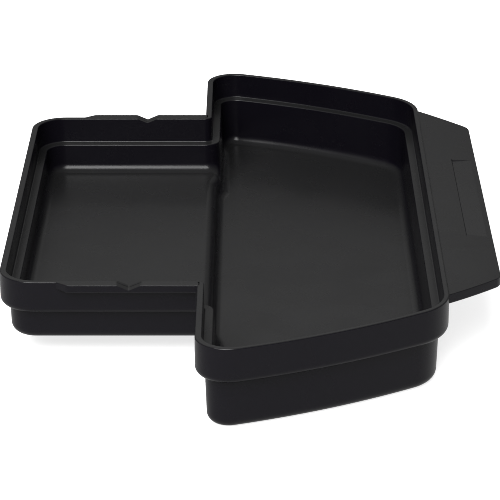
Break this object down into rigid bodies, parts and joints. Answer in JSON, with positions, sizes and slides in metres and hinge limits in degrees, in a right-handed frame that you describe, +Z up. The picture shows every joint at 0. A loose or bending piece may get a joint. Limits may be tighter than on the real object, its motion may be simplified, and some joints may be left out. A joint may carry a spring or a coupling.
{
  "type": "tool storage caddy",
  "caption": "Shallow moulded storage caddy: an arm that opens into a deeper bay, with notched guide lips and a grip plate.",
  "frame": {"origin": "centre of the object's outline, on the surface that the bay stands on", "axes": "+X from the arm towards the grip plate, +Y across the object towards the back lip, +Z up out of the tub"},
  "size_m": [0.226, 0.3714, 0.0395],
  "materials": {
    "tub_plastic": "satin black moulded plastic with a fine grain",
    "lip_plastic": "satin black moulded plastic",
    "plate_plastic": "satin black moulded plastic"
  },
  "bodies": {
    "root": {"tub": "tub_plastic", "front_lip": "lip_plastic", "back_lip": "lip_plastic", "end_plate": "plate_plastic"}
  },
  "joints": []
}
